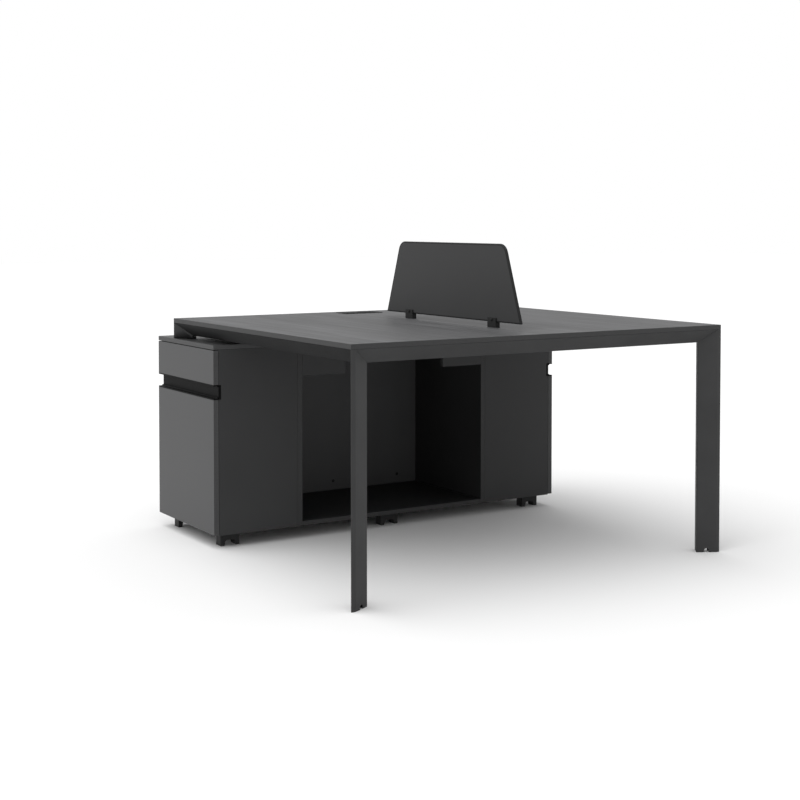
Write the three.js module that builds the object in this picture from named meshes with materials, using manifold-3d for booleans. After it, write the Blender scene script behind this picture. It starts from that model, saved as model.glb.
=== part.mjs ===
// Benching desk for two: a bevelled frame with one shared board, a low screen between the two places,
// and a storage cabinet across the far end that carries the frame's short legs.
// Millimetres, +Z up. Inside the assembly, x runs from the left long edge to the right one, and y runs
// from the near end to the cabinet. The exported group is centred over the floor.

import * as THREE from 'three';
import { mergeVertices } from 'three/addons/utils/BufferGeometryUtils.js';
import Module from 'manifold-3d';

const wasm = await Module();
wasm.setup();

// Clearances
const FIT = 0.3;
const MITRE_GAP = 0.4;
const CUT_MARGIN = 5;

// Straight steps that stand in for a curve
const ROUND_STEPS = 24;
const PIN_STEPS = 16;
const ARC_STEPS = 10;

// Desk
const DESK_WIDTH = 1400;
const DESK_LENGTH = 1238;
const DESK_HEIGHT = 750;
const BOARD_THICKNESS = 15;

// Bevelled frame section
const LEG_NOSE = 14;
const LEG_LIP = 2;
const LEG_WIDTH = 70;
const END_BEVEL_DEPTH = 32;
const SIDE_BEVEL_DEPTH = 40;
const SECTION_RETURN = 3;
const BEAM_HEIGHT = 42;
const FRAME_WALL = 2.5;

// Inner rails under the board
const INNER_RAIL_WIDTH = 40;
const INNER_RAIL_HEIGHT = 30;
const INNER_RAIL_WALL = 2;
const INNER_RAIL_SPACING = 440;

// Foot of a near leg
const LEG_ARCH_WIDTH = 17;
const LEG_ARCH_HEIGHT = 13;
const PLUG_HEIGHT = 22;
const PLUG_RISE = 6;
const LEG_BOTTOM = 0.5;
const GLIDE_DIAMETER = 15;
const GLIDE_THICKNESS = 4;
const GLIDE_STEM_DIAMETER = 6;
const GLIDE_STEM_FREE_END = 2;

// Far legs, which stand on the cabinet
const FAR_LEG_RISE = 13;
const FOOT_PLATE_THICKNESS = 4;

// Cable flap
const FLAP_LENGTH = 156;
const FLAP_WIDTH = 80;
const FLAP_CENTRE_FROM_FAR_END = 88;
const FLAP_RISE = 1.5;
const FLAP_FLANGE = 6;
const FLAP_WALL = 3;
const FLAP_LEDGE = 3;
const FLAP_LEDGE_THICKNESS = 3;
const LID_THICKNESS = 4;
const LID_CLEARANCE = 0.6;
const LID_PIN_DIAMETER = 2.4;
const LID_PIN_LENGTH = 1.6;
const LID_NOTCH_LENGTH = 60;
const LID_NOTCH_DEPTH = 12;

// Screen and its clamps
const SCREEN_THICKNESS = 10;
const SCREEN_LIFT = 18;
const SCREEN_HEIGHT = 250;
const SCREEN_FOOT_LENGTH = 797;
const SCREEN_HEAD_LENGTH = 621;
const SCREEN_CORNER_RADIUS = 40;
const SCREEN_CENTRE_FROM_NEAR_END = 548;
const CLAMP_SPACING = 494;
const CLAMP_LENGTH = 46;
const CLAMP_JAW = 3;
const CLAMP_GRIP = 14;
const CLAMP_SCREW_DIAMETER = 4;
const CLAMP_SCREW_HEAD_DIAMETER = 9;
const CLAMP_SCREW_HEAD_LENGTH = 2.5;

// Cabinet
const CABINET_UNDERLAP = 338;
const CABINET_DEPTH = 466;
const PANEL = 15;
const PARTITION = 18;
const NICHE_WIDTH = 746;
const NICHE_RAIL_HEIGHT = 105;
const CABLE_NOTCH_WIDTH = 408;
const CABLE_NOTCH_HEIGHT = 45;

// Cabinet feet
const FOOT_HEIGHT = 45;
const FOOT_LENGTH = 70;
const FOOT_WIDTH = 35;
const FOOT_SETBACK = 40;
const FOOT_END_SETBACK = 22;
const FOOT_ARCH_WIDTH = 38;
const FOOT_ARCH_HEIGHT = 24;

// Drawer fronts, the gap between them, and the black channel in it: a rail behind the gap and a pull
// along the edge of each front
const FRONT_THICKNESS = 18;
const FRONT_OVERHANG = 4;
const FRONT_REVEAL = 2.5;
const FRONT_STANDOFF = 1;
const UPPER_FRONT_HEIGHT = 114;
const FRONT_GAP = 50;
const CHANNEL_RAIL_DEPTH = 9;
const CHANNEL_RAIL_REBATE = 8;
const CHANNEL_PLAY = 1;
const PULL_THICKNESS = 4;
const PULL_HOOK_DEPTH = 3;
const PULL_HOOK_DROP = 4;

// Drawer boxes and runners
const BOX_REAR_GAP = 28;
const BOX_WALL = 12;
const BOX_FLOOR = 8;
const BOX_RISE = 12;
const UPPER_BOX_HEADROOM = 26;
const LOWER_BOX_HEADROOM = 132;
const RUNNER_DEPTH = 12;
const RUNNER_HEIGHT = 30;
const RUNNER_WALL = 1.5;
const RUNNER_LEVEL = 30;
const RUNNER_SETBACK = 6;
const BOX_PLAY = 1;

// Places worked out from the sizes above
const CENTRE_X = DESK_WIDTH / 2;
const BOARD_BOTTOM = DESK_HEIGHT - BOARD_THICKNESS;
const FRAME_TOP = BOARD_BOTTOM - FIT;
const BEAM_BOTTOM = FRAME_TOP - BEAM_HEIGHT;
const END_SECTION_DEPTH = END_BEVEL_DEPTH + SECTION_RETURN;
const SIDE_SECTION_DEPTH = SIDE_BEVEL_DEPTH + SECTION_RETURN;
const CABINET_START = DESK_LENGTH - CABINET_UNDERLAP;
const CABINET_END = CABINET_START + CABINET_DEPTH;
const CABINET_HEIGHT = BEAM_BOTTOM - FAR_LEG_RISE;
const CABINET_CEILING = CABINET_HEIGHT - PANEL;
const CABINET_INNER_END = CABINET_END - PANEL;
const CARCASS_EDGE = FRONT_THICKNESS + FRONT_STANDOFF - FRONT_OVERHANG;
const NICHE_EDGE = CENTRE_X - NICHE_WIDTH / 2;
const UNIT_INNER_EDGE = NICHE_EDGE - PARTITION;
const GAP_TOP = CABINET_CEILING - FRONT_REVEAL - UPPER_FRONT_HEIGHT;
const GAP_BOTTOM = GAP_TOP - FRONT_GAP;
const CHANNEL_RAIL = {
  x0: CARCASS_EDGE + CHANNEL_RAIL_REBATE - CHANNEL_RAIL_DEPTH,
  x1: CARCASS_EDGE + CHANNEL_RAIL_REBATE,
  z0: GAP_BOTTOM + CHANNEL_PLAY,
  z1: GAP_TOP - CHANNEL_PLAY,
};
const UNIT_FLOOR = FOOT_HEIGHT + PANEL;
const PLUG_BOTTOM = LEG_BOTTOM + LEG_ARCH_HEIGHT + PLUG_RISE;
const FLAP_CENTRE_Y = DESK_LENGTH - FLAP_CENTRE_FROM_FAR_END;
const SCREEN_BOTTOM = DESK_HEIGHT + SCREEN_LIFT;

// Every corner and every drawer is written once and mirrored through these two places
const SIDES = {
  left: (x) => x,
  right: (x) => DESK_WIDTH - x,
};
const ENDS = {
  near: (y) => y,
  far: (y) => DESK_LENGTH - y,
};

// Finishes
const finish = (color, roughness, metalness) => () =>
  new THREE.MeshStandardMaterial({ color, roughness, metalness });
const boardFinish = finish('#4b4c4e', 0.55, 0);
const frameFinish = finish('#3d3e40', 0.6, 0.3);
const panelFinish = finish('#36373a', 0.65, 0);
const boxFinish = finish('#4a4b4d', 0.6, 0);
const screenFinish = finish('#404144', 0.8, 0);
const plasticFinish = finish('#161617', 0.5, 0);
const steelFinish = finish('#8d8f92', 0.4, 0.9);

const desk = new THREE.Group();
desk.name = 'benching_desk';
const assembly = new THREE.Group();
assembly.position.set(-CENTRE_X, -CABINET_END / 2, 0);
desk.add(assembly);

function addPiece(name, geometry, material) {
  const mesh = new THREE.Mesh(geometry, material());
  mesh.name = name;
  assembly.add(mesh);
}

// Shapes and solids
function anticlockwise(points) {
  const ring = points.map(([a, b]) => new THREE.Vector2(a, b));
  return THREE.ShapeUtils.isClockWise(ring) ? ring.reverse() : ring;
}

function outline(points, holes = []) {
  const shape = new THREE.Shape(anticlockwise(points));
  shape.holes = holes.map((hole) => new THREE.Path(anticlockwise(hole)));
  return shape;
}

function extruded(shape, length) {
  return new THREE.ExtrudeGeometry(shape, { depth: length, bevelEnabled: false });
}

function block(x0, x1, y0, y1, z0, z1) {
  const geometry = new THREE.BoxGeometry(x1 - x0, y1 - y0, z1 - z0);
  return geometry.translate((x0 + x1) / 2, (y0 + y1) / 2, (z0 + z1) / 2);
}

// A block whose two x places come from either side of the desk
function sideBlock(place, x0, x1, y0, y1, z0, z1) {
  const a = place(x0);
  const b = place(x1);
  return block(Math.min(a, b), Math.max(a, b), y0, y1, z0, z1);
}

// Prism with its section in x and y, standing along z
function prismZ(points, z0, z1, holes = []) {
  return extruded(outline(points, holes), z1 - z0).translate(0, 0, z0);
}

// Prism with its section in y and z, lying along x
function prismX(points, x0, x1, holes = []) {
  const turn = new THREE.Matrix4().makeBasis(
    new THREE.Vector3(0, 1, 0),
    new THREE.Vector3(0, 0, 1),
    new THREE.Vector3(1, 0, 0),
  );
  return extruded(outline(points, holes), x1 - x0).applyMatrix4(turn).translate(x0, 0, 0);
}

// Prism with its section in x and z, lying along y
function prismY(points, y0, y1, holes = []) {
  const turn = new THREE.Matrix4().makeBasis(
    new THREE.Vector3(0, 0, 1),
    new THREE.Vector3(1, 0, 0),
    new THREE.Vector3(0, 1, 0),
  );
  const swap = (ring) => ring.map(([x, z]) => [z, x]);
  const section = outline(swap(points), holes.map(swap));
  return extruded(section, y1 - y0).applyMatrix4(turn).translate(0, y0, 0);
}

function rectangle(a0, a1, b0, b1) {
  return [[a0, b0], [a1, b0], [a1, b1], [a0, b1]];
}

function circle(centre, diameter, steps = ROUND_STEPS) {
  const points = [];
  for (let step = 0; step < steps; step += 1) {
    const angle = (2 * Math.PI * step) / steps;
    points.push([
      centre[0] + (diameter / 2) * Math.cos(angle),
      centre[1] + (diameter / 2) * Math.sin(angle),
    ]);
  }
  return points;
}

// Joins and cuts
function toSolid(geometry) {
  const bare = geometry.clone();
  bare.deleteAttribute('normal');
  bare.deleteAttribute('uv');
  const merged = mergeVertices(bare);
  return new wasm.Manifold(new wasm.Mesh({
    numProp: 3,
    vertProperties: new Float32Array(merged.attributes.position.array),
    triVerts: new Uint32Array(merged.index.array),
  }));
}

function toGeometry(solid) {
  const mesh = solid.getMesh();
  const geometry = new THREE.BufferGeometry();
  geometry.setAttribute('position', new THREE.BufferAttribute(new Float32Array(mesh.vertProperties), 3));
  geometry.setIndex(new THREE.BufferAttribute(new Uint32Array(mesh.triVerts), 1));
  geometry.computeVertexNormals();
  return geometry;
}

function cut(geometry, ...tools) {
  return toGeometry(tools.reduce((solid, tool) => solid.subtract(toSolid(tool)), toSolid(geometry)));
}

function join(geometry, ...others) {
  return toGeometry(others.reduce((solid, other) => solid.add(toSolid(other)), toSolid(geometry)));
}

// Inner ring of a convex section, a wall's thickness inside its outline: each edge moved in by the wall
// clips what is left of the section
function inset(points, wall) {
  let ring = points;
  const area = points.reduce((sum, [x, y], i) => {
    const [nextX, nextY] = points[(i + 1) % points.length];
    return sum + x * nextY - nextX * y;
  }, 0);
  const turn = Math.sign(area);
  points.forEach(([x0, y0], i) => {
    const [x1, y1] = points[(i + 1) % points.length];
    const length = Math.hypot(x1 - x0, y1 - y0);
    const normal = [(-turn * (y1 - y0)) / length, (turn * (x1 - x0)) / length];
    const depth = ([x, y]) => (x - x0) * normal[0] + (y - y0) * normal[1] - wall;
    const kept = [];
    ring.forEach((point, j) => {
      const next = ring[(j + 1) % ring.length];
      const here = depth(point);
      const there = depth(next);
      if (here >= 0) {
        kept.push(point);
      }
      if (here * there < 0) {
        const share = here / (here - there);
        kept.push([point[0] + share * (next[0] - point[0]), point[1] + share * (next[1] - point[1])]);
      }
    });
    ring = kept;
  });
  return ring;
}

function centroid(points) {
  let area = 0;
  let sumX = 0;
  let sumY = 0;
  points.forEach(([x0, y0], i) => {
    const [x1, y1] = points[(i + 1) % points.length];
    const cross = x0 * y1 - x1 * y0;
    area += cross / 2;
    sumX += (x0 + x1) * cross;
    sumY += (y0 + y1) * cross;
  });
  return [sumX / (6 * area), sumY / (6 * area)];
}

// Frame sections, from the corner inwards
const LEG_SECTION = [
  [0, 0],
  [LEG_NOSE, 0],
  [LEG_WIDTH, END_BEVEL_DEPTH],
  [LEG_WIDTH, END_SECTION_DEPTH],
  [SIDE_SECTION_DEPTH, LEG_WIDTH],
  [SIDE_BEVEL_DEPTH, LEG_WIDTH],
  [0, LEG_LIP],
];

// Foot of a near leg: an arch runs square through the middle of the bevelled face, and the glide stands
// beside it, as deep behind that face as the section's centre
const FACE_RUN = LEG_WIDTH - LEG_NOSE;
const FACE_LENGTH = Math.hypot(FACE_RUN, END_BEVEL_DEPTH);
const FACE_ALONG = [FACE_RUN / FACE_LENGTH, END_BEVEL_DEPTH / FACE_LENGTH];
const FACE_INWARD = [-FACE_ALONG[1], FACE_ALONG[0]];
const FACE_MIDDLE = [(LEG_NOSE + LEG_WIDTH) / 2, END_BEVEL_DEPTH / 2];
const LEG_CENTRE = centroid(LEG_SECTION);
const GLIDE_ASIDE = (LEG_ARCH_WIDTH + GLIDE_DIAMETER) / 2;
const GLIDE_DEPTH = FACE_INWARD.reduce((sum, part, i) => sum + part * (LEG_CENTRE[i] - FACE_MIDDLE[i]), 0);
const GLIDE_AXIS = FACE_MIDDLE.map(
  (middle, i) => middle + GLIDE_ASIDE * FACE_ALONG[i] + GLIDE_DEPTH * FACE_INWARD[i],
);

// Section of a beam or a side rail, as points of distance from the outer edge and height
function railSection(bevelDepth) {
  const depth = bevelDepth + SECTION_RETURN;
  return [[0, FRAME_TOP], [bevelDepth, BEAM_BOTTOM], [depth, BEAM_BOTTOM], [depth, FRAME_TOP]];
}

// A mitre runs down from the board at one distance from the corner to the beam's underside at another.
// This is the wedge on the leg's side of it or on the beam's side, as points of distance and height.
function mitreWedge(start, end, keepLeg) {
  const run = end - start;
  const shift = keepLeg ? -MITRE_GAP / 2 : MITRE_GAP / 2;
  const high = [start - run, FRAME_TOP + BEAM_HEIGHT + shift];
  const low = [end + run, BEAM_BOTTOM - BEAM_HEIGHT + shift];
  return keepLeg ? [high, low, [low[0], high[1]]] : [high, [high[0], low[1]], low];
}

// Wedge beyond the upright mitre between a beam and a side rail, which meet on the line from the outer
// corner to the inner one
function diagonalWedge(keepBeam) {
  const reach = 1 + CUT_MARGIN / END_SECTION_DEPTH;
  const shift = keepBeam ? MITRE_GAP / 2 : -MITRE_GAP / 2;
  const from = [-reach * SIDE_SECTION_DEPTH + shift, -reach * END_SECTION_DEPTH - shift];
  const to = [reach * SIDE_SECTION_DEPTH + shift, reach * END_SECTION_DEPTH - shift];
  return keepBeam ? [from, to, [from[0], to[1]]] : [from, [to[0], from[1]], to];
}

// Legs

function legShell(side, end, bottom) {
  const place = ([x, y]) => [SIDES[side](x), ENDS[end](y)];
  const placeX = ([x, z]) => [SIDES[side](x), z];
  const placeY = ([y, z]) => [ENDS[end](y), z];
  const hollow = inset(LEG_SECTION, FRAME_WALL).map(place);
  const wedgeX = mitreWedge(LEG_NOSE, LEG_WIDTH, true).map(placeX);
  const wedgeY = mitreWedge(LEG_LIP, LEG_WIDTH, true).map(placeY);
  return cut(
    prismZ(LEG_SECTION.map(place), bottom, FRAME_TOP),
    prismZ(hollow, bottom - CUT_MARGIN, FRAME_TOP + CUT_MARGIN),
    prismY(wedgeX, -LEG_WIDTH, DESK_LENGTH + LEG_WIDTH),
    prismX(wedgeY, -LEG_WIDTH, DESK_WIDTH + LEG_WIDTH),
  );
}

// Arched opening through the foot of a leg
function legArch(side) {
  const radius = LEG_ARCH_WIDTH / 2;
  const shoulder = LEG_BOTTOM + LEG_ARCH_HEIGHT - radius;
  const shape = new THREE.Shape();
  shape.moveTo(-radius, -CUT_MARGIN);
  shape.lineTo(radius, -CUT_MARGIN);
  shape.lineTo(radius, shoulder);
  shape.absarc(0, shoulder, radius, 0, Math.PI, false);
  shape.closePath();
  const tool = new THREE.ExtrudeGeometry(shape, {
    depth: 2 * LEG_WIDTH,
    bevelEnabled: false,
    curveSegments: ARC_STEPS,
  });
  // The arch is symmetric, so the right leg's one is turned end for end to keep the basis right-handed
  const across = [-FACE_ALONG[0], side === 'left' ? -FACE_ALONG[1] : FACE_ALONG[1]];
  const through = [side === 'left' ? FACE_INWARD[0] : -FACE_INWARD[0], FACE_INWARD[1]];
  const turn = new THREE.Matrix4().makeBasis(
    new THREE.Vector3(across[0], across[1], 0),
    new THREE.Vector3(0, 0, 1),
    new THREE.Vector3(through[0], through[1], 0),
  );
  const start = FACE_MIDDLE.map((middle, i) => middle - CUT_MARGIN * FACE_INWARD[i]);
  return tool.applyMatrix4(turn).translate(SIDES[side](start[0]), start[1], 0);
}

function addNearLeg(side) {
  const centre = [SIDES[side](GLIDE_AXIS[0]), GLIDE_AXIS[1]];
  const plugOutline = inset(LEG_SECTION, FRAME_WALL + FIT).map(([x, y]) => [SIDES[side](x), y]);
  const bore = circle(centre, GLIDE_STEM_DIAMETER + 2 * FIT);
  const plugTop = PLUG_BOTTOM + PLUG_HEIGHT;
  addPiece(`near_${side}_leg`, cut(legShell(side, 'near', LEG_BOTTOM), legArch(side)), frameFinish);
  addPiece(`near_${side}_leg_plug`, prismZ(plugOutline, PLUG_BOTTOM, plugTop, [bore]), plasticFinish);
  const stemRadius = GLIDE_STEM_DIAMETER / 2;
  const glideProfile = [
    [0, 0],
    [GLIDE_DIAMETER / 2 - GLIDE_THICKNESS / 2, 0],
    [GLIDE_DIAMETER / 2, GLIDE_THICKNESS / 2],
    [GLIDE_DIAMETER / 2, GLIDE_THICKNESS],
    [stemRadius, GLIDE_THICKNESS],
    [stemRadius, plugTop - GLIDE_STEM_FREE_END],
    [0, plugTop - GLIDE_STEM_FREE_END],
  ].map(([radius, z]) => new THREE.Vector2(radius, z));
  const glide = new THREE.LatheGeometry(glideProfile, ROUND_STEPS).rotateX(Math.PI / 2);
  addPiece(`near_${side}_glide`, glide.translate(centre[0], centre[1], 0), plasticFinish);
}

function addFarLeg(side) {
  const bottom = CABINET_HEIGHT + FIT;
  const section = LEG_SECTION.map(([x, y]) => [SIDES[side](x), ENDS.far(y)]);
  const footPlate = prismZ(section, bottom, bottom + FOOT_PLATE_THICKNESS);
  addPiece(`far_${side}_leg`, join(legShell(side, 'far', bottom), footPlate), frameFinish);
}

// Beams and rails under the board

function addEndBeam(end) {
  const section = railSection(END_BEVEL_DEPTH).map(([y, z]) => [ENDS[end](y), z]);
  const hollow = inset(section, FRAME_WALL);
  const cutters = Object.values(SIDES).flatMap((place) => {
    const wedge = mitreWedge(LEG_NOSE, LEG_WIDTH, false).map(([x, z]) => [place(x), z]);
    const diagonal = diagonalWedge(true).map(([x, y]) => [place(x), ENDS[end](y)]);
    return [
      prismY(wedge, -LEG_WIDTH, DESK_LENGTH + LEG_WIDTH),
      prismZ(diagonal, BEAM_BOTTOM - CUT_MARGIN, FRAME_TOP + CUT_MARGIN),
    ];
  });
  addPiece(`${end}_beam`, cut(prismX(section, 0, DESK_WIDTH, [hollow]), ...cutters), frameFinish);
}

function addSideRail(side) {
  const section = railSection(SIDE_BEVEL_DEPTH).map(([x, z]) => [SIDES[side](x), z]);
  const hollow = inset(section, FRAME_WALL);
  const cutters = Object.values(ENDS).flatMap((place) => {
    const wedge = mitreWedge(LEG_LIP, LEG_WIDTH, false).map(([y, z]) => [place(y), z]);
    const diagonal = diagonalWedge(false).map(([x, y]) => [SIDES[side](x), place(y)]);
    return [
      prismX(wedge, -LEG_WIDTH, DESK_WIDTH + LEG_WIDTH),
      prismZ(diagonal, BEAM_BOTTOM - CUT_MARGIN, FRAME_TOP + CUT_MARGIN),
    ];
  });
  addPiece(`${side}_side_rail`, cut(prismY(section, 0, DESK_LENGTH, [hollow]), ...cutters), frameFinish);
}

function addInnerRail(side) {
  const centre = SIDES[side](CENTRE_X - INNER_RAIL_SPACING / 2);
  const half = INNER_RAIL_WIDTH / 2;
  const section = rectangle(centre - half, centre + half, FRAME_TOP - INNER_RAIL_HEIGHT, FRAME_TOP);
  const start = END_SECTION_DEPTH + FIT;
  const rail = prismY(section, start, DESK_LENGTH - start, [inset(section, INNER_RAIL_WALL)]);
  addPiece(`${side}_inner_rail`, rail, frameFinish);
}

// Board and cable flap

const SLEEVE_LENGTH = FLAP_LENGTH - 2 * FLAP_FLANGE;
const SLEEVE_WIDTH = FLAP_WIDTH - 2 * FLAP_FLANGE;
const LID_TOP = DESK_HEIGHT + FIT + FLAP_RISE;
const LID_BOTTOM = LID_TOP - LID_THICKNESS;
const LID_PLACE = {
  x0: CENTRE_X - SLEEVE_LENGTH / 2 + FLAP_WALL + LID_CLEARANCE,
  x1: CENTRE_X + SLEEVE_LENGTH / 2 - FLAP_WALL - LID_CLEARANCE,
  y0: FLAP_CENTRE_Y - SLEEVE_WIDTH / 2 + FLAP_WALL + LID_CLEARANCE,
  y1: FLAP_CENTRE_Y + SLEEVE_WIDTH / 2 - FLAP_WALL - LID_CLEARANCE,
};
const LID_HINGE = { y: LID_PLACE.y1 - LID_THICKNESS / 2, z: LID_TOP - LID_THICKNESS / 2 };

// Rectangle round the middle of the flap
function flapRing(length, width) {
  return rectangle(
    CENTRE_X - length / 2,
    CENTRE_X + length / 2,
    FLAP_CENTRE_Y - width / 2,
    FLAP_CENTRE_Y + width / 2,
  );
}

function hingePins(diameter, x0, x1) {
  return prismX(circle([LID_HINGE.y, LID_HINGE.z], diameter, PIN_STEPS), x0, x1);
}

function addDesktop() {
  const opening = flapRing(SLEEVE_LENGTH + 2 * FIT, SLEEVE_WIDTH + 2 * FIT);
  const board = prismZ(rectangle(0, DESK_WIDTH, 0, DESK_LENGTH), BOARD_BOTTOM, DESK_HEIGHT, [opening]);
  addPiece('desktop', board, boardFinish);
}

function addFlap() {
  const flangeBottom = DESK_HEIGHT + FIT;
  const sleeveBottom = BOARD_BOTTOM + FIT;
  const mouth = flapRing(SLEEVE_LENGTH - 2 * FLAP_WALL, SLEEVE_WIDTH - 2 * FLAP_WALL);
  const flange = prismZ(flapRing(FLAP_LENGTH, FLAP_WIDTH), flangeBottom, LID_TOP, [mouth]);
  const sleeve = prismZ(flapRing(SLEEVE_LENGTH, SLEEVE_WIDTH), sleeveBottom, LID_TOP, [mouth]);
  const ledgeTop = LID_BOTTOM - FIT;
  const ledgeEdge = LID_PLACE.y0 - LID_CLEARANCE;
  const ledge = block(
    LID_PLACE.x0 - LID_CLEARANCE - FLAP_WALL / 2,
    LID_PLACE.x1 + LID_CLEARANCE + FLAP_WALL / 2,
    ledgeEdge - FLAP_WALL / 2,
    ledgeEdge + FLAP_LEDGE,
    ledgeTop - FLAP_LEDGE_THICKNESS,
    ledgeTop,
  );
  const boreEnd = LID_CLEARANCE + LID_PIN_LENGTH + FIT;
  const bores = hingePins(LID_PIN_DIAMETER + 2 * FIT, LID_PLACE.x0 - boreEnd, LID_PLACE.x1 + boreEnd);
  addPiece('flap_frame', cut(join(flange, sleeve, ledge), bores), plasticFinish);

  const radius = LID_THICKNESS / 2;
  const section = new THREE.Shape();
  section.moveTo(LID_PLACE.y0, LID_BOTTOM);
  section.lineTo(LID_HINGE.y, LID_BOTTOM);
  section.absarc(LID_HINGE.y, LID_HINGE.z, radius, -Math.PI / 2, Math.PI / 2, false);
  section.lineTo(LID_PLACE.y0, LID_TOP);
  section.closePath();
  const ring = section.extractPoints(ARC_STEPS).shape.map(({ x, y }) => [x, y]);
  const plate = prismX(ring, LID_PLACE.x0, LID_PLACE.x1);
  const notch = block(
    CENTRE_X - LID_NOTCH_LENGTH / 2,
    CENTRE_X + LID_NOTCH_LENGTH / 2,
    LID_PLACE.y0 - CUT_MARGIN,
    LID_PLACE.y0 + LID_NOTCH_DEPTH,
    LID_BOTTOM - CUT_MARGIN,
    LID_TOP + CUT_MARGIN,
  );
  const pinEnd = LID_CLEARANCE + LID_PIN_LENGTH;
  const pins = hingePins(LID_PIN_DIAMETER, LID_PLACE.x0 - pinEnd, LID_PLACE.x1 + pinEnd);
  addPiece('flap_lid', join(cut(plate, notch), pins), plasticFinish);
}

// Screen

function addScreen() {
  const foot = SCREEN_FOOT_LENGTH / 2;
  const head = SCREEN_HEAD_LENGTH / 2;
  const slope = Math.atan2(foot - head, SCREEN_HEIGHT);
  const radius = SCREEN_CORNER_RADIUS;
  const tangent = radius * Math.tan(Math.PI / 4 - slope / 2);
  const corner = [head - tangent, SCREEN_HEIGHT - radius];
  const shape = new THREE.Shape();
  shape.moveTo(-foot, 0);
  shape.lineTo(foot, 0);
  shape.absarc(corner[0], corner[1], radius, slope, Math.PI / 2, false);
  shape.absarc(-corner[0], corner[1], radius, Math.PI / 2, Math.PI - slope, false);
  shape.closePath();
  const ring = shape.extractPoints(ARC_STEPS).shape.map(({ x, y }) => [
    SCREEN_CENTRE_FROM_NEAR_END + x,
    SCREEN_BOTTOM + y,
  ]);
  const half = SCREEN_THICKNESS / 2;
  addPiece('screen_panel', prismX(ring, CENTRE_X - half, CENTRE_X + half), screenFinish);
}

// A fork that stands on the board and grips the screen's lower edge, with a screw through one jaw
function addClamp(end, offset) {
  const y = SCREEN_CENTRE_FROM_NEAR_END + offset;
  const inner = SCREEN_THICKNESS / 2 + FIT;
  const outer = inner + CLAMP_JAW;
  const bottom = DESK_HEIGHT + FIT;
  const seat = SCREEN_BOTTOM - FIT;
  const top = SCREEN_BOTTOM + CLAMP_GRIP;
  const section = [
    [CENTRE_X - outer, bottom],
    [CENTRE_X + outer, bottom],
    [CENTRE_X + outer, top],
    [CENTRE_X + inner, top],
    [CENTRE_X + inner, seat],
    [CENTRE_X - inner, seat],
    [CENTRE_X - inner, top],
    [CENTRE_X - outer, top],
  ];
  const screwLevel = (SCREEN_BOTTOM + top) / 2;
  const shank = (diameter, x0, x1) => prismX(circle([y, screwLevel], diameter, PIN_STEPS), x0, x1);
  const headStart = CENTRE_X - outer - FIT - CLAMP_SCREW_HEAD_LENGTH;
  const headEnd = headStart + CLAMP_SCREW_HEAD_LENGTH;
  const bore = shank(CLAMP_SCREW_DIAMETER + 2 * FIT, headEnd, CENTRE_X - inner + CUT_MARGIN);
  const fork = prismY(section, y - CLAMP_LENGTH / 2, y + CLAMP_LENGTH / 2);
  addPiece(`${end}_clamp`, cut(fork, bore), plasticFinish);
  const head = shank(CLAMP_SCREW_HEAD_DIAMETER, headStart, headEnd);
  const stem = shank(CLAMP_SCREW_DIAMETER, headStart + CLAMP_SCREW_HEAD_LENGTH / 2, CENTRE_X - inner);
  addPiece(`${end}_clamp_screw`, join(head, stem), plasticFinish);
}

// Cabinet carcass

function addCabinetShell() {
  const right = SIDES.right(CARCASS_EDGE);
  const ceiling = CABINET_CEILING - FIT;
  const cableHole = flapRing(SLEEVE_LENGTH, SLEEVE_WIDTH);
  const top = rectangle(-FRONT_OVERHANG, DESK_WIDTH + FRONT_OVERHANG, CABINET_START, CABINET_END);
  addPiece('cabinet_top', prismZ(top, CABINET_CEILING, CABINET_HEIGHT, [cableHole]), panelFinish);

  const notchEdge = CHANNEL_RAIL.x1 + FIT;
  const notchLow = CHANNEL_RAIL.z0 - FIT;
  const notchHigh = CHANNEL_RAIL.z1 + FIT;
  const back = [
    [CARCASS_EDGE, FOOT_HEIGHT],
    [right, FOOT_HEIGHT],
    [right, notchLow],
    [SIDES.right(notchEdge), notchLow],
    [SIDES.right(notchEdge), notchHigh],
    [right, notchHigh],
    [right, ceiling],
    [CARCASS_EDGE, ceiling],
    [CARCASS_EDGE, notchHigh],
    [notchEdge, notchHigh],
    [notchEdge, notchLow],
    [CARCASS_EDGE, notchLow],
  ];
  addPiece('cabinet_back', prismY(back, CABINET_INNER_END, CABINET_END), panelFinish);
}

function addNiche() {
  const x0 = NICHE_EDGE + FIT;
  const x1 = SIDES.right(x0);
  const floorEnd = CABINET_INNER_END - FIT;
  const floor = block(x0, x1, CABINET_START, floorEnd, FOOT_HEIGHT, UNIT_FLOOR);
  addPiece('niche_floor', floor, panelFinish);
  const railTop = CABINET_CEILING - FIT;
  const railBottom = CABINET_CEILING - NICHE_RAIL_HEIGHT;
  const notchTop = railBottom + CABLE_NOTCH_HEIGHT;
  const notchLeft = CENTRE_X - CABLE_NOTCH_WIDTH / 2;
  const notchRight = CENTRE_X + CABLE_NOTCH_WIDTH / 2;
  const rail = [
    [x0, railBottom],
    [notchLeft, railBottom],
    [notchLeft, notchTop],
    [notchRight, notchTop],
    [notchRight, railBottom],
    [x1, railBottom],
    [x1, railTop],
    [x0, railTop],
  ];
  addPiece('niche_rail', prismY(rail, CABINET_START, CABINET_START + PANEL), panelFinish);
}

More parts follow.
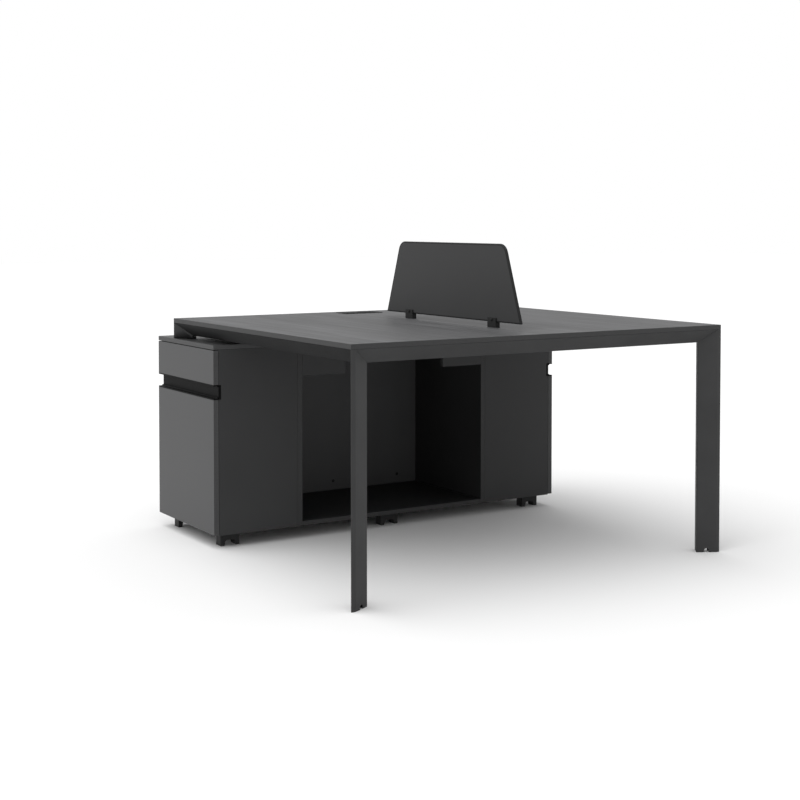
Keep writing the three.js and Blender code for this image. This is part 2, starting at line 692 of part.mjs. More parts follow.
function addUnitCarcass(side) {
  const place = SIDES[side];
  const ceiling = CABINET_CEILING - FIT;
  const innerEnd = CABINET_INNER_END - FIT;
  const panelEdge = UNIT_INNER_EDGE - FIT;
  const partition = sideBlock(
    place,
    UNIT_INNER_EDGE,
    NICHE_EDGE,
    CABINET_START,
    innerEnd,
    FOOT_HEIGHT,
    ceiling,
  );
  addPiece(`${side}_partition`, partition, panelFinish);

  const notchEdge = CHANNEL_RAIL.x1 + FIT;
  const sidePanel = [
    [CARCASS_EDGE, FOOT_HEIGHT],
    [panelEdge, FOOT_HEIGHT],
    [panelEdge, ceiling],
    [CARCASS_EDGE, ceiling],
    [CARCASS_EDGE, CHANNEL_RAIL.z1 + FIT],
    [notchEdge, CHANNEL_RAIL.z1 + FIT],
    [notchEdge, CHANNEL_RAIL.z0 - FIT],
    [CARCASS_EDGE, CHANNEL_RAIL.z0 - FIT],
  ].map(([x, z]) => [place(x), z]);
  addPiece(`${side}_side_panel`, prismY(sidePanel, CABINET_START, CABINET_START + PANEL), panelFinish);

  const floorStart = CABINET_START + PANEL + FIT;
  const floor = sideBlock(place, CARCASS_EDGE, panelEdge, floorStart, innerEnd, FOOT_HEIGHT, UNIT_FLOOR);
  addPiece(`${side}_unit_floor`, floor, panelFinish);

  const { x0, x1, z0, z1 } = CHANNEL_RAIL;
  const rail = sideBlock(place, x0, x1, CABINET_START, CABINET_END, z0, z1);
  addPiece(`${side}_channel_rail`, rail, plasticFinish);
}

function addFoot(name, x, y) {
  const half = FOOT_LENGTH / 2;
  const arch = FOOT_ARCH_WIDTH / 2;
  const section = [
    [x - half, 0],
    [x - arch, 0],
    [x - arch, FOOT_ARCH_HEIGHT],
    [x + arch, FOOT_ARCH_HEIGHT],
    [x + arch, 0],
    [x + half, 0],
    [x + half, FOOT_HEIGHT - FIT],
    [x - half, FOOT_HEIGHT - FIT],
  ];
  addPiece(name, prismY(section, y - FOOT_WIDTH / 2, y + FOOT_WIDTH / 2), plasticFinish);
}

function addFeet() {
  const endFoot = CARCASS_EDGE + FOOT_END_SETBACK + FOOT_LENGTH / 2;
  const columns = { left: endFoot, middle: CENTRE_X, right: SIDES.right(endFoot) };
  const fromEdge = FOOT_SETBACK + FOOT_WIDTH / 2;
  for (const [column, x] of Object.entries(columns)) {
    addFoot(`near_${column}_foot`, x, CABINET_START + fromEdge);
    addFoot(`far_${column}_foot`, x, CABINET_END - fromEdge);
  }
}

// Drawers

// Strip along the edge of a front at the gap, with a hook behind it for the fingers. It hangs down from
// the upper front and stands on the lower one.
function addPull(name, place, edge, away) {
  const outer = -FRONT_OVERHANG;
  const inner = CHANNEL_RAIL.x0 - CHANNEL_PLAY;
  const level = (distance) => edge + away * (FIT + distance);
  const section = [
    [outer, level(0)],
    [inner, level(0)],
    [inner, level(PULL_THICKNESS + PULL_HOOK_DROP)],
    [inner - PULL_HOOK_DEPTH, level(PULL_THICKNESS + PULL_HOOK_DROP)],
    [inner - PULL_HOOK_DEPTH, level(PULL_THICKNESS)],
    [outer, level(PULL_THICKNESS)],
  ].map(([x, z]) => [place(x), z]);
  addPiece(name, prismY(section, CABINET_START, CABINET_END), plasticFinish);
}

function addDrawer(side, level, frontBottom, frontTop, boxBottom, boxTop) {
  const place = SIDES[side];
  const name = `${side}_${level}`;
  const frontBack = FRONT_THICKNESS - FRONT_OVERHANG;
  const front = sideBlock(
    place,
    -FRONT_OVERHANG,
    frontBack,
    CABINET_START,
    CABINET_END,
    frontBottom,
    frontTop,
  );
  addPiece(`${name}_drawer_front`, front, panelFinish);

  const wallStart = CABINET_START + PANEL;
  const wallEnd = CABINET_INNER_END;
  const boxStart = frontBack + FIT;
  const boxEnd = UNIT_INNER_EDGE - BOX_REAR_GAP;
  const near = wallStart + FIT + RUNNER_DEPTH + BOX_PLAY;
  const far = wallEnd - FIT - RUNNER_DEPTH - BOX_PLAY;
  const body = sideBlock(place, boxStart, boxEnd, near, far, boxBottom, boxTop);
  const hollow = sideBlock(
    place,
    boxStart + BOX_WALL,
    boxEnd - BOX_WALL,
    near + BOX_WALL,
    far - BOX_WALL,
    boxBottom + BOX_FLOOR,
    boxTop + CUT_MARGIN,
  );
  const runnerBottom = boxBottom + RUNNER_LEVEL;
  const runnerTop = runnerBottom + RUNNER_HEIGHT;
  const ribBottom = runnerBottom + RUNNER_WALL + FIT;
  const ribTop = runnerTop - RUNNER_WALL - FIT;
  const ribReach = FIT + RUNNER_WALL + BOX_PLAY;
  const rib = sideBlock(
    place,
    boxStart,
    boxEnd,
    wallStart + ribReach,
    wallEnd - ribReach,
    ribBottom,
    ribTop,
  );
  addPiece(`${name}_drawer_box`, cut(join(body, rib), hollow), boxFinish);

  const runnerStart = CHANNEL_RAIL.x1 + RUNNER_SETBACK;
  const runnerEnd = UNIT_INNER_EDGE - FIT;
  const runnerX = [place(runnerStart), place(runnerEnd)].sort((a, b) => a - b);
  const runnerSection = (wall, inward) => [
    [wall + inward * FIT, runnerBottom],
    [wall + inward * (FIT + RUNNER_DEPTH), runnerBottom],
    [wall + inward * (FIT + RUNNER_DEPTH), runnerBottom + RUNNER_WALL],
    [wall + inward * (FIT + RUNNER_WALL), runnerBottom + RUNNER_WALL],
    [wall + inward * (FIT + RUNNER_WALL), runnerTop - RUNNER_WALL],
    [wall + inward * (FIT + RUNNER_DEPTH), runnerTop - RUNNER_WALL],
    [wall + inward * (FIT + RUNNER_DEPTH), runnerTop],
    [wall + inward * FIT, runnerTop],
  ];
  const runners = { near: runnerSection(wallStart, 1), far: runnerSection(wallEnd, -1) };
  for (const [end, section] of Object.entries(runners)) {
    addPiece(`${name}_${end}_runner`, prismX(section, runnerX[0], runnerX[1]), steelFinish);
  }
}

for (const end of Object.keys(ENDS)) {
  addEndBeam(end);
}
for (const side of Object.keys(SIDES)) {
  addNearLeg(side);
  addFarLeg(side);
  addSideRail(side);
  addInnerRail(side);
}
addDesktop();
addFlap();
addScreen();
addClamp('near', -CLAMP_SPACING / 2);
addClamp('far', CLAMP_SPACING / 2);
addCabinetShell();
addNiche();
addFeet();
for (const side of Object.keys(SIDES)) {
  addUnitCarcass(side);
  const upperTop = CABINET_CEILING - FRONT_REVEAL;
  const upperBoxTop = CABINET_CEILING - UPPER_BOX_HEADROOM;
  addDrawer(side, 'upper', GAP_TOP, upperTop, GAP_TOP + BOX_RISE, upperBoxTop);
  const lowerBottom = FOOT_HEIGHT + FRONT_REVEAL;
  const lowerBoxTop = GAP_BOTTOM - LOWER_BOX_HEADROOM;
  addDrawer(side, 'lower', lowerBottom, GAP_BOTTOM, UNIT_FLOOR + BOX_RISE, lowerBoxTop);
  addPull(`${side}_upper_pull`, SIDES[side], GAP_TOP, -1);
  addPull(`${side}_lower_pull`, SIDES[side], GAP_BOTTOM, 1);
}

export default desk;
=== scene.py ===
import math

import bmesh
import bpy
from mathutils import Matrix, Vector


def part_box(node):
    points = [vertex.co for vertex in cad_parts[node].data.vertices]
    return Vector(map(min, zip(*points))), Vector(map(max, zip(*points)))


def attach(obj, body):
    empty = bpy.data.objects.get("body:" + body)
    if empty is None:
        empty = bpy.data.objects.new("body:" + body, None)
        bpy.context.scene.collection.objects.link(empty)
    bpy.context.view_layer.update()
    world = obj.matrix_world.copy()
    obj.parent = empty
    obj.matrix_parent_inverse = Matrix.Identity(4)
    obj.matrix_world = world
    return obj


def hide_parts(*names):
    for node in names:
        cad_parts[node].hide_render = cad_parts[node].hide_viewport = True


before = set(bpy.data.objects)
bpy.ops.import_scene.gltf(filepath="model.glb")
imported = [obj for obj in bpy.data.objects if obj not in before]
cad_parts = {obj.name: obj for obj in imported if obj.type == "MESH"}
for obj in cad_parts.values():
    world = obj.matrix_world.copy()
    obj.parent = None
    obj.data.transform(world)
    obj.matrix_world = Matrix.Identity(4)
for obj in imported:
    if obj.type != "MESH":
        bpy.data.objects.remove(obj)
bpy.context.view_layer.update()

MM = 0.001
X, Y, Z = 0, 1, 2
WHITE = (1.0, 1.0, 1.0, 1.0)

# The body that stands still, and the words that the nodes' names are made of
DESK = "desk"
SIDES = ("left", "right")
ENDS = ("near", "far")
LEVELS = ("upper", "lower")
COLUMNS = ("left", "middle", "right")

# Edge radii, in metres
BOARD_EDGE = 0.9 * MM
PANEL_EDGE = 0.7 * MM
FRAME_EDGE = 0.9 * MM
MOULDED_EDGE = 0.6 * MM
SHEET_EDGE = 0.25 * MM

# Threads are drawn as rings, with a plain gap at their ends, and a nut or socket has a corner every sixth
HEX_TURN = math.pi / 3
THREAD_PITCH = 1.0 * MM
THREAD_DEPTH = 0.4 * MM
THREAD_GAP = 0.5 * MM

# Steps in a softened edge and in a rounded corner
EDGE_STEPS = 2
FINE_STEPS = 3
CORNER_STEPS = 5

# Limits for points that meet, faces in one plane, sharp edges and faces that look along an axis
WELD = 0.01 * MM
FLAT_ANGLE = math.radians(0.5)
SHARP_ANGLE = math.radians(28.0)
FACING = 0.95

# Places of a piece's materials
FACE = 0
BAND = 1
BACKING = 2


# Materials

# The greys are a little cool
GREEN_TINT = 1.005
BLUE_TINT = 1.02

# Noise mostly lies between these values
RAMP_START = 0.3
RAMP_END = 0.7

# A small number draws the noise out along that axis, and the board's grain runs along Y
NO_STRETCH = (1.0, 1.0, 1.0)
CLOUD_STRETCH = (1.0, 0.1, 1.0)
FIBRE_STRETCH = (1.0, 0.04, 1.0)
BAND_STRETCH = (1.0, 1.0, 6.0)
DRAWN_STRETCH = (1.0, 8.0, 8.0)

# Darkest and lightest marks over a colour
STREAK_TONES = (0.26, 0.74)
SPECKLE_TONES = (0.4, 0.6)

# Least and greatest roughness
LAMINATE_ROUGHNESS = (0.54, 0.62)
MELAMINE_ROUGHNESS = (0.46, 0.56)
BAND_ROUGHNESS = (0.44, 0.54)
PAINT_ROUGHNESS = (0.5, 0.64)
PLASTIC_ROUGHNESS = (0.44, 0.58)
STEEL_ROUGHNESS = (0.24, 0.4)


def new_material(name):
    made = bpy.data.materials.new(name)
    made.use_nodes = True
    tree = made.node_tree
    return made, tree, tree.nodes["Principled BSDF"]


def grey(level):
    return (level, level * GREEN_TINT, level * BLUE_TINT, 1.0)


def texture_point(tree, stretch=NO_STRETCH):
    where = tree.nodes.new("ShaderNodeTexCoord")
    mapping = tree.nodes.new("ShaderNodeMapping")
    mapping.inputs["Scale"].default_value = stretch
    tree.links.new(where.outputs["Object"], mapping.inputs["Vector"])
    return mapping.outputs["Vector"]


def noise(tree, point, scale, detail, roughness=0.5, distortion=0.0):
    node = tree.nodes.new("ShaderNodeTexNoise")
    node.inputs["Scale"].default_value = scale
    node.inputs["Detail"].default_value = detail
    node.inputs["Roughness"].default_value = roughness
    node.inputs["Distortion"].default_value = distortion
    tree.links.new(point, node.inputs["Vector"])
    return node.outputs["Fac"]


def ramp(tree, factor, tones):
    node = tree.nodes.new("ShaderNodeValToRGB")
    first, last = node.color_ramp.elements
    first.position = RAMP_START
    first.color = grey(tones[0])
    last.position = RAMP_END
    last.color = grey(tones[1])
    tree.links.new(factor, node.inputs["Fac"])
    return node.outputs["Color"]


def overlay(tree, base, over, share):
    node = tree.nodes.new("ShaderNodeMixRGB")
    node.blend_type = "OVERLAY"
    node.inputs["Fac"].default_value = share
    tree.links.new(base, node.inputs["Color1"])
    tree.links.new(over, node.inputs["Color2"])
    return node.outputs["Color"]


def bump(tree, shader, height, strength, distance):
    node = tree.nodes.new("ShaderNodeBump")
    node.inputs["Strength"].default_value = strength
    node.inputs["Distance"].default_value = distance
    tree.links.new(height, node.inputs["Height"])
    tree.links.new(node.outputs["Normal"], shader.inputs["Normal"])


def link_surface(tree, shader, colour, roughness):
    tree.links.new(colour, shader.inputs["Base Color"])
    tree.links.new(roughness, shader.inputs["Roughness"])


def laminate(name, tones, specular):
    made, tree, shader = new_material(name)
    cloud_point = texture_point(tree, CLOUD_STRETCH)
    clouds = noise(tree, cloud_point, scale=10.0, detail=4.0, roughness=0.55, distortion=0.4)
    fibre_point = texture_point(tree, FIBRE_STRETCH)
    fibres = noise(tree, fibre_point, scale=55.0, detail=3.0, roughness=0.6)
    colour = overlay(tree, ramp(tree, clouds, tones), ramp(tree, fibres, STREAK_TONES), share=0.5)
    link_surface(tree, shader, colour, ramp(tree, clouds, LAMINATE_ROUGHNESS))
    shader.inputs["Specular IOR Level"].default_value = specular
    bump(tree, shader, fibres, strength=0.12, distance=0.15 * MM)
    return made


def melamine(name, tones, specular):
    made, tree, shader = new_material(name)
    point = texture_point(tree)
    clouds = noise(tree, point, scale=3.0, detail=2.0)
    speckle = noise(tree, point, scale=700.0, detail=2.0, roughness=0.6)
    colour = overlay(tree, ramp(tree, clouds, tones), ramp(tree, speckle, SPECKLE_TONES), share=0.2)
    link_surface(tree, shader, colour, ramp(tree, clouds, MELAMINE_ROUGHNESS))
    shader.inputs["Specular IOR Level"].default_value = specular
    bump(tree, shader, speckle, strength=0.15, distance=0.12 * MM)
    return made


def edge_band(name, tones, specular):
    made, tree, shader = new_material(name)
    lines = noise(tree, texture_point(tree, BAND_STRETCH), scale=90.0, detail=3.0)
    link_surface(tree, shader, ramp(tree, lines, tones), ramp(tree, lines, BAND_ROUGHNESS))
    shader.inputs["Specular IOR Level"].default_value = specular
    bump(tree, shader, lines, strength=0.1, distance=0.1 * MM)
    return made


def powder_coat(name, tones, specular):
    made, tree, shader = new_material(name)
    point = texture_point(tree)
    grains = noise(tree, point, scale=1400.0, detail=2.0, roughness=0.55)
    patches = noise(tree, point, scale=7.0, detail=3.0)
    link_surface(tree, shader, ramp(tree, patches, tones), ramp(tree, grains, PAINT_ROUGHNESS))
    shader.inputs["Specular IOR Level"].default_value = specular
    bump(tree, shader, grains, strength=0.25, distance=0.15 * MM)
    return made


def moulded_plastic(name, tones, specular):
    made, tree, shader = new_material(name)
    point = texture_point(tree)
    spark = noise(tree, point, scale=1100.0, detail=2.0, roughness=0.6)
    patches = noise(tree, point, scale=25.0, detail=2.0)
    link_surface(tree, shader, ramp(tree, patches, tones), ramp(tree, spark, PLASTIC_ROUGHNESS))
    shader.inputs["Specular IOR Level"].default_value = specular
    bump(tree, shader, spark, strength=0.2, distance=0.1 * MM)
    return made


def zinc_steel(name, tones):
    made, tree, shader = new_material(name)
    drawn = noise(tree, texture_point(tree, DRAWN_STRETCH), scale=120.0, detail=4.0, roughness=0.6)
    patches = noise(tree, texture_point(tree), scale=60.0, detail=2.0)
    link_surface(tree, shader, ramp(tree, patches, tones), ramp(tree, drawn, STEEL_ROUGHNESS))
    shader.inputs["Metallic"].default_value = 1.0
    bump(tree, shader, drawn, strength=0.1, distance=0.1 * MM)
    return made


TOP_LAMINATE = laminate("desktop_grain", tones=(0.060, 0.108), specular=0.14)
TOP_BAND = edge_band("desktop_edge_band", tones=(0.033, 0.041), specular=0.2)
TOP_BACKING = melamine("desktop_backing", tones=(0.05, 0.06), specular=0.2)
CABINET_FACE = melamine("cabinet_face", tones=(0.054, 0.064), specular=0.2)
CABINET_BAND = edge_band("cabinet_edge_band", tones=(0.054, 0.064), specular=0.18)
# The carcass panels and their edges get a darker copy of the cabinet melamine: painted shade from the
# desk above them
SHADED_CARCASS_FACE = melamine("carcass_face_painted_shade", tones=(0.035, 0.042), specular=0.16)
SHADED_CARCASS_BAND = edge_band("carcass_edge_band_painted_shade", tones=(0.035, 0.042), specular=0.16)
# The niche's partitions and floor get a still darker copy of the melamine: painted shade inside the niche
SHADED_NICHE_FACE = melamine("niche_face_painted_shade", tones=(0.022, 0.028), specular=0.1)
# The niche's back gets a lighter copy of the melamine: painted light that lifts it against the niche's
# shade
LIGHTENED_NICHE_BACK_FACE = melamine("niche_back_face_painted_light", tones=(0.064, 0.075), specular=0.18)
FRONT_FACE = melamine("drawer_front_face", tones=(0.068, 0.080), specular=0.2)
SCREEN_FACE = melamine("screen_face", tones=(0.036, 0.044), specular=0.2)
SCREEN_BAND = edge_band("screen_edge_band", tones=(0.016, 0.022), specular=0.12)
DRAWER_FACE = melamine("drawer_face", tones=(0.064, 0.078), specular=0.35)
FRAME_PAINT = powder_coat("frame_powder_coat", tones=(0.033, 0.041), specular=0.2)
# The side rails get a darker copy of the frame's powder coat: painted shade on their downward-sloping
# faces
SHADED_RAIL_PAINT = powder_coat("side_rail_shaded_powder_coat", tones=(0.017, 0.022), specular=0.06)
BLACK_PLASTIC = moulded_plastic("black_moulding", tones=(0.010, 0.015), specular=0.18)
# The finger channel's rails and pulls are black, and darker still than the other mouldings: painted shade
# of the recessed channel
SHADED_CHANNEL_PLASTIC = moulded_plastic("channel_moulding_painted_shade", tones=(0.003, 0.005), specular=0.05)
FLAP_PLASTIC = moulded_plastic("flap_moulding", tones=(0.006, 0.009), specular=0.02)
# The cabinet's feet get a lighter copy of the black moulding: painted light that lifts their walls out of
# the shade under the cabinet
LIGHTENED_FOOT_PLASTIC = moulded_plastic("foot_moulding_painted_light", tones=(0.018, 0.024), specular=0.18)
ZINC = zinc_steel("zinc_plate", tones=(0.42, 0.52))


# Meshes

def cad_copy(node):
    bm = bmesh.new()
    bm.from_mesh(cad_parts[node].data)
    bmesh.ops.remove_doubles(bm, verts=bm.verts, dist=WELD)
    bmesh.ops.dissolve_limit(bm, angle_limit=FLAT_ANGLE, verts=bm.verts, edges=bm.edges)
    return bm


def sharp_edges(bm):
    convex = [edge for edge in bm.edges if len(edge.link_faces) == 2 and edge.is_convex]
    return [edge for edge in convex if edge.calc_face_angle() > SHARP_ANGLE]


def soften(bm, width, segments=EDGE_STEPS, edges=None):
    chosen = sharp_edges(bm) if edges is None else edges
    bmesh.ops.bevel(
        bm,
        geom=chosen,
        offset=width,
        offset_type="OFFSET",
        segments=segments,
        profile=0.5,
        affect="EDGES",
        clamp_overlap=False,
    )
    bmesh.ops.remove_doubles(bm, verts=bm.verts, dist=WELD)
    bmesh.ops.dissolve_degenerate(bm, dist=WELD, edges=bm.edges)


def point_at(axis, a, b, along):
    point = [a, b]
    point.insert(axis, along)
    return point


def rounded(corners):
    ring = []
    for i, (a, b, radius) in enumerate(corners):
        here = Vector((a, b))
        before = (Vector(corners[i - 1][:2]) - here).normalized()
        after = (Vector(corners[(i + 1) % len(corners)][:2]) - here).normalized()
        half = before.angle(after) / 2
        reach = radius / math.tan(half)
        centre = here + (before + after).normalized() * (radius / math.sin(half))
        start = here + before * reach - centre
        end = here + after * reach - centre
        turn = math.atan2(start.x * end.y - start.y * end.x, start.dot(end))
        for step in range(CORNER_STEPS + 1):
            spoke = Matrix.Rotation(turn * step / CORNER_STEPS, 2) @ start
            ring.append(tuple(centre + spoke))
    return ring


def loft(bm, loops):
    ends = [bm.faces.new(loops[0]), bm.faces.new(loops[-1])]
    for lower, upper in zip(loops, loops[1:]):
        for i in range(len(lower)):
            j = (i + 1) % len(lower)
            bm.faces.new((lower[i], lower[j], upper[j], upper[i]))
    bmesh.ops.recalc_face_normals(bm, faces=bm.faces)
    return ends


def prism(ring, axis, start, end):
    bm = bmesh.new()
    loops = []
    for along in (start, end):
        loops.append([bm.verts.new(point_at(axis, a, b, along)) for a, b in ring])
    loft(bm, loops)
    return bm


def round_ring(along, radius, steps):
    return along, [radius] * steps


def hex_ring(along, flats, steps):
    radii = []
    for i in range(steps):
        angle = (2 * math.pi * i / steps) % HEX_TURN - HEX_TURN / 2
        radii.append(flats / 2 / math.cos(angle))
    return along, radii


def thread_rings(start, end, radius, steps):
    rings = []
    count = int(abs(end - start) / (THREAD_PITCH / 2))
    for i in range(count + 1):
        depth = THREAD_DEPTH if i % 2 else 0.0
        rings.append(round_ring(start + (end - start) * i / count, radius - depth, steps))
    return rings


def turned(rings, axis, centre):
    bm = bmesh.new()
    loops = []
    for along, radii in rings:
        loop = []
        for i, radius in enumerate(radii):
            angle = 2 * math.pi * i / len(radii)
            a = centre[0] + radius * math.cos(angle)
            b = centre[1] + radius * math.sin(angle)
            loop.append(bm.verts.new(point_at(axis, a, b, along)))
        loops.append(loop)
    ends = loft(bm, loops)
    bmesh.ops.poke(bm, faces=ends)
    return bm


# Pieces

def make_piece(name, bm, body, materials, nodes=(), chooser=None):
    mesh = bpy.data.meshes.new(name)
    for made in materials:
        mesh.materials.append(made)
    for face in bm.faces:
        face.smooth = True
        if chooser is not None:
            face.material_index = chooser(face)
    bm.to_mesh(mesh)
    bm.free()
    piece = bpy.data.objects.new(name, mesh)
    bpy.context.scene.collection.objects.link(piece)
    normals = piece.modifiers.new("weighted_normals", "WEIGHTED_NORMAL")
    normals.mode = "FACE_AREA_WITH_ANGLE"
    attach(piece, body)
    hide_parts(*nodes)


def stand_in(node, bm, body, materials, chooser=None):
    make_piece(node + "_look", bm, body, materials, (node,), chooser)


def dress(node, body, materials, width, segments=EDGE_STEPS, chooser=None):
    bm = cad_copy(node)
    soften(bm, width, segments)
    stand_in(node, bm, body, materials, chooser)


def flat_side(axis):
    def chooser(face):
        return FACE if abs(face.normal[axis]) > FACING else BAND
    return chooser


# Frame

# The long faces of a bar lie along its axis, and the mitre cuts don't
CUT_SLOPE = 0.05


def long_edges(bm, axis):
    def along(edge):
        return all(abs(face.normal[axis]) < CUT_SLOPE for face in edge.link_faces)
    return [edge for edge in sharp_edges(bm) if along(edge)]


def dress_bar(node, axis, paint):
    bm = cad_copy(node)
    soften(bm, FRAME_EDGE, edges=long_edges(bm, axis))
    stand_in(node, bm, DESK, [paint])


def build_frame():
    for end in ENDS:
        dress_bar(f"{end}_beam", X, FRAME_PAINT)
    for side in SIDES:
        for end in ENDS:
            dress_bar(f"{end}_{side}_leg", Z, FRAME_PAINT)
        # The side rails take the darker copy of the paint, which is painted shade
        dress_bar(f"{side}_side_rail", Y, SHADED_RAIL_PAINT)
        dress_bar(f"{side}_inner_rail", Y, FRAME_PAINT)
        dress(f"near_{side}_leg_plug", DESK, [BLACK_PLASTIC], MOULDED_EDGE)


# Levelling glides

GLIDE_STEPS = 36
GLIDE_STEM = 3 * MM
GLIDE_TIP = 0.6 * MM
GLIDE_TIP_TAPER = 0.8 * MM
HUB_RADIUS = 5 * MM
HUB_TAPER = 0.5 * MM
HUB_BOTTOM = 4.6 * MM
HUB_TOP = 6.0 * MM
NUT_FLATS = 10 * MM
NUT_BOTTOM = 14.6 * MM
NUT_TOP = 19.2 * MM

# Height above the floor and inset from the rim of each ring of the round foot, in mm
GLIDE_RIM = ((0.0, 2.2), (0.4, 1.0), (1.4, 0.2), (2.4, 0.0), (3.2, 0.1), (3.8, 0.8), (4.0, 2.0))


def glide_rings(foot, top):
    rings = [round_ring(height * MM, foot - inset * MM, GLIDE_STEPS) for height, inset in GLIDE_RIM]
    rings.append(round_ring(HUB_BOTTOM, HUB_RADIUS, GLIDE_STEPS))
    rings.append(round_ring(HUB_TOP, HUB_RADIUS - HUB_TAPER, GLIDE_STEPS))
    rings.append(round_ring(HUB_TOP, GLIDE_STEM, GLIDE_STEPS))
    rings += thread_rings(HUB_TOP + THREAD_GAP, NUT_BOTTOM - THREAD_GAP, GLIDE_STEM, GLIDE_STEPS)
    rings.append(round_ring(NUT_BOTTOM, GLIDE_STEM, GLIDE_STEPS))
    rings.append(hex_ring(NUT_BOTTOM, NUT_FLATS, GLIDE_STEPS))
    rings.append(hex_ring(NUT_TOP, NUT_FLATS, GLIDE_STEPS))
    rings.append(round_ring(NUT_TOP, GLIDE_STEM, GLIDE_STEPS))
    rings += thread_rings(NUT_TOP + THREAD_GAP, top - GLIDE_TIP, GLIDE_STEM, GLIDE_STEPS)
    rings.append(round_ring(top, GLIDE_STEM - GLIDE_TIP_TAPER, GLIDE_STEPS))
    return rings


def build_glide(side):
    node = f"near_{side}_glide"
    low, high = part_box(node)
    centre = ((low.x + high.x) / 2, (low.y + high.y) / 2)
    foot = (high.x - low.x) / 2
    bm = turned(glide_rings(foot, high.z), Z, centre)
    stand_in(node, bm, node, [BLACK_PLASTIC])


# Board and cable flap

FLAP_EDGE = 0.4 * MM
FLAP_CORNER = 5 * MM
FLAP_CORNER_STEPS = 6
NEARBY = 0.25 * MM


def board_side(face):
    if face.normal.z > FACING:
        return FACE
    return BACKING if face.normal.z < -FACING else BAND


def build_board():
    materials = [TOP_LAMINATE, TOP_BAND, TOP_BACKING]
    dress("desktop", DESK, materials, BOARD_EDGE, FINE_STEPS, board_side)


def outer_corners(bm, low, high):
    corners = []
    for edge in bm.edges:
        a, b = (vert.co for vert in edge.verts)
        upright = abs(a.x - b.x) < NEARBY and abs(a.y - b.y) < NEARBY
        at_x = min(abs(a.x - low.x), abs(a.x - high.x)) < NEARBY
        at_y = min(abs(a.y - low.y), abs(a.y - high.y)) < NEARBY
        if upright and at_x and at_y:
            corners.append(edge)
    return corners


def build_flap():
    low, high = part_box("flap_frame")
    bm = cad_copy("flap_frame")
    soften(bm, FLAP_CORNER, FLAP_CORNER_STEPS, outer_corners(bm, low, high))
    soften(bm, FLAP_EDGE)
    stand_in("flap_frame", bm, DESK, [FLAP_PLASTIC])
    dress("flap_lid", "flap_lid", [FLAP_PLASTIC], FLAP_EDGE)


# Screen and its clamps

SCREEN_EDGE = 3.2 * MM
SCREEN_EDGE_STEPS = 4
SCREEN_TRIM = 2.5 * MM
SCREEN_RECESS = 0.3 * MM
CLAMP_EDGE = 0.8 * MM
SCREW_STEPS = 48
SCREW_SHANK = 2 * MM
SCREW_HEAD = 2.5 * MM
SCREW_TIP = 0.3 * MM
SCREW_TIP_TAPER = 0.4 * MM
SOCKET_FLATS = 3 * MM
SOCKET_DEPTH = 1.4 * MM

# The two large faces of the screen are bigger than this, in square metres
SCREEN_FIELD_AREA = 0.05

# Depth below the face and inset from the rim of each ring of the screw's head, in mm
SCREW_RIM = ((0.0, 1.8), (0.3, 0.9), (0.9, 0.2), (1.6, 0.0))


def screen_side(face):
    return FACE if face.calc_area() > SCREEN_FIELD_AREA else BAND


def build_screen():
    bm = cad_copy("screen_panel")
    soften(bm, SCREEN_EDGE, SCREEN_EDGE_STEPS)
    fields = [face for face in bm.faces if screen_side(face) == FACE]
    bmesh.ops.inset_individual(bm, faces=fields, thickness=SCREEN_TRIM, depth=-SCREEN_RECESS)
    materials = [SCREEN_FACE, SCREEN_BAND]
    make_piece("screen_look", bm, DESK, materials, ("screen_panel",), screen_side)
    for end in ENDS:
        dress(f"{end}_clamp", DESK, [BLACK_PLASTIC], CLAMP_EDGE, FINE_STEPS)


def screw_rings(face, head, tip):
    neck = face + SCREW_HEAD
    rings = [
        hex_ring(face + SOCKET_DEPTH, SOCKET_FLATS, SCREW_STEPS),
        hex_ring(face, SOCKET_FLATS, SCREW_STEPS),
    ]
    for depth, inset in SCREW_RIM:
        rings.append(round_ring(face + depth * MM, head - inset * MM, SCREW_STEPS))
    rings.append(round_ring(neck, head, SCREW_STEPS))
    rings.append(round_ring(neck, SCREW_SHANK, SCREW_STEPS))
    rings += thread_rings(neck + THREAD_GAP, tip - SCREW_TIP, SCREW_SHANK, SCREW_STEPS)
    rings.append(round_ring(tip, SCREW_SHANK - SCREW_TIP_TAPER, SCREW_STEPS))
    return rings


def build_clamp_screw(end):
    node = f"{end}_clamp_screw"
    low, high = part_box(node)
    centre = ((low.y + high.y) / 2, (low.z + high.z) / 2)
    head = (high.y - low.y) / 2
    bm = turned(screw_rings(low.x, head, high.x), X, centre)
    stand_in(node, bm, node, [BLACK_PLASTIC])


# Cabinet

CAP_RADIUS = 6 * MM
CAP_DOME = 1.2 * MM
CAP_STEPS = 32
CAP_HEIGHT = 94 * MM
CAP_SPACING = 287 * MM
ARCH_FOOT = 21.5 * MM
ARCH_HEAD = 16 * MM
ARCH_CROWN = 18.5 * MM
ARCH_RADIUS = 8 * MM
FOOT_TOE = 1.5 * MM
FOOT_SHOULDER = 1.0 * MM
CHANNEL_FRONT_RADIUS = 3 * MM
CHANNEL_REAR_RADIUS = 0.5 * MM

# Share of the dome's height and of the radius at each ring of a screw cap
CAP_PROFILE = ((0.0, 1.0), (0.4, 0.97), (0.8, 0.75), (1.0, 0.4))


def build_panel(node, axis, face, band=SHADED_CARCASS_BAND, body=DESK):
    dress(node, body, [face, band], PANEL_EDGE, chooser=flat_side(axis))


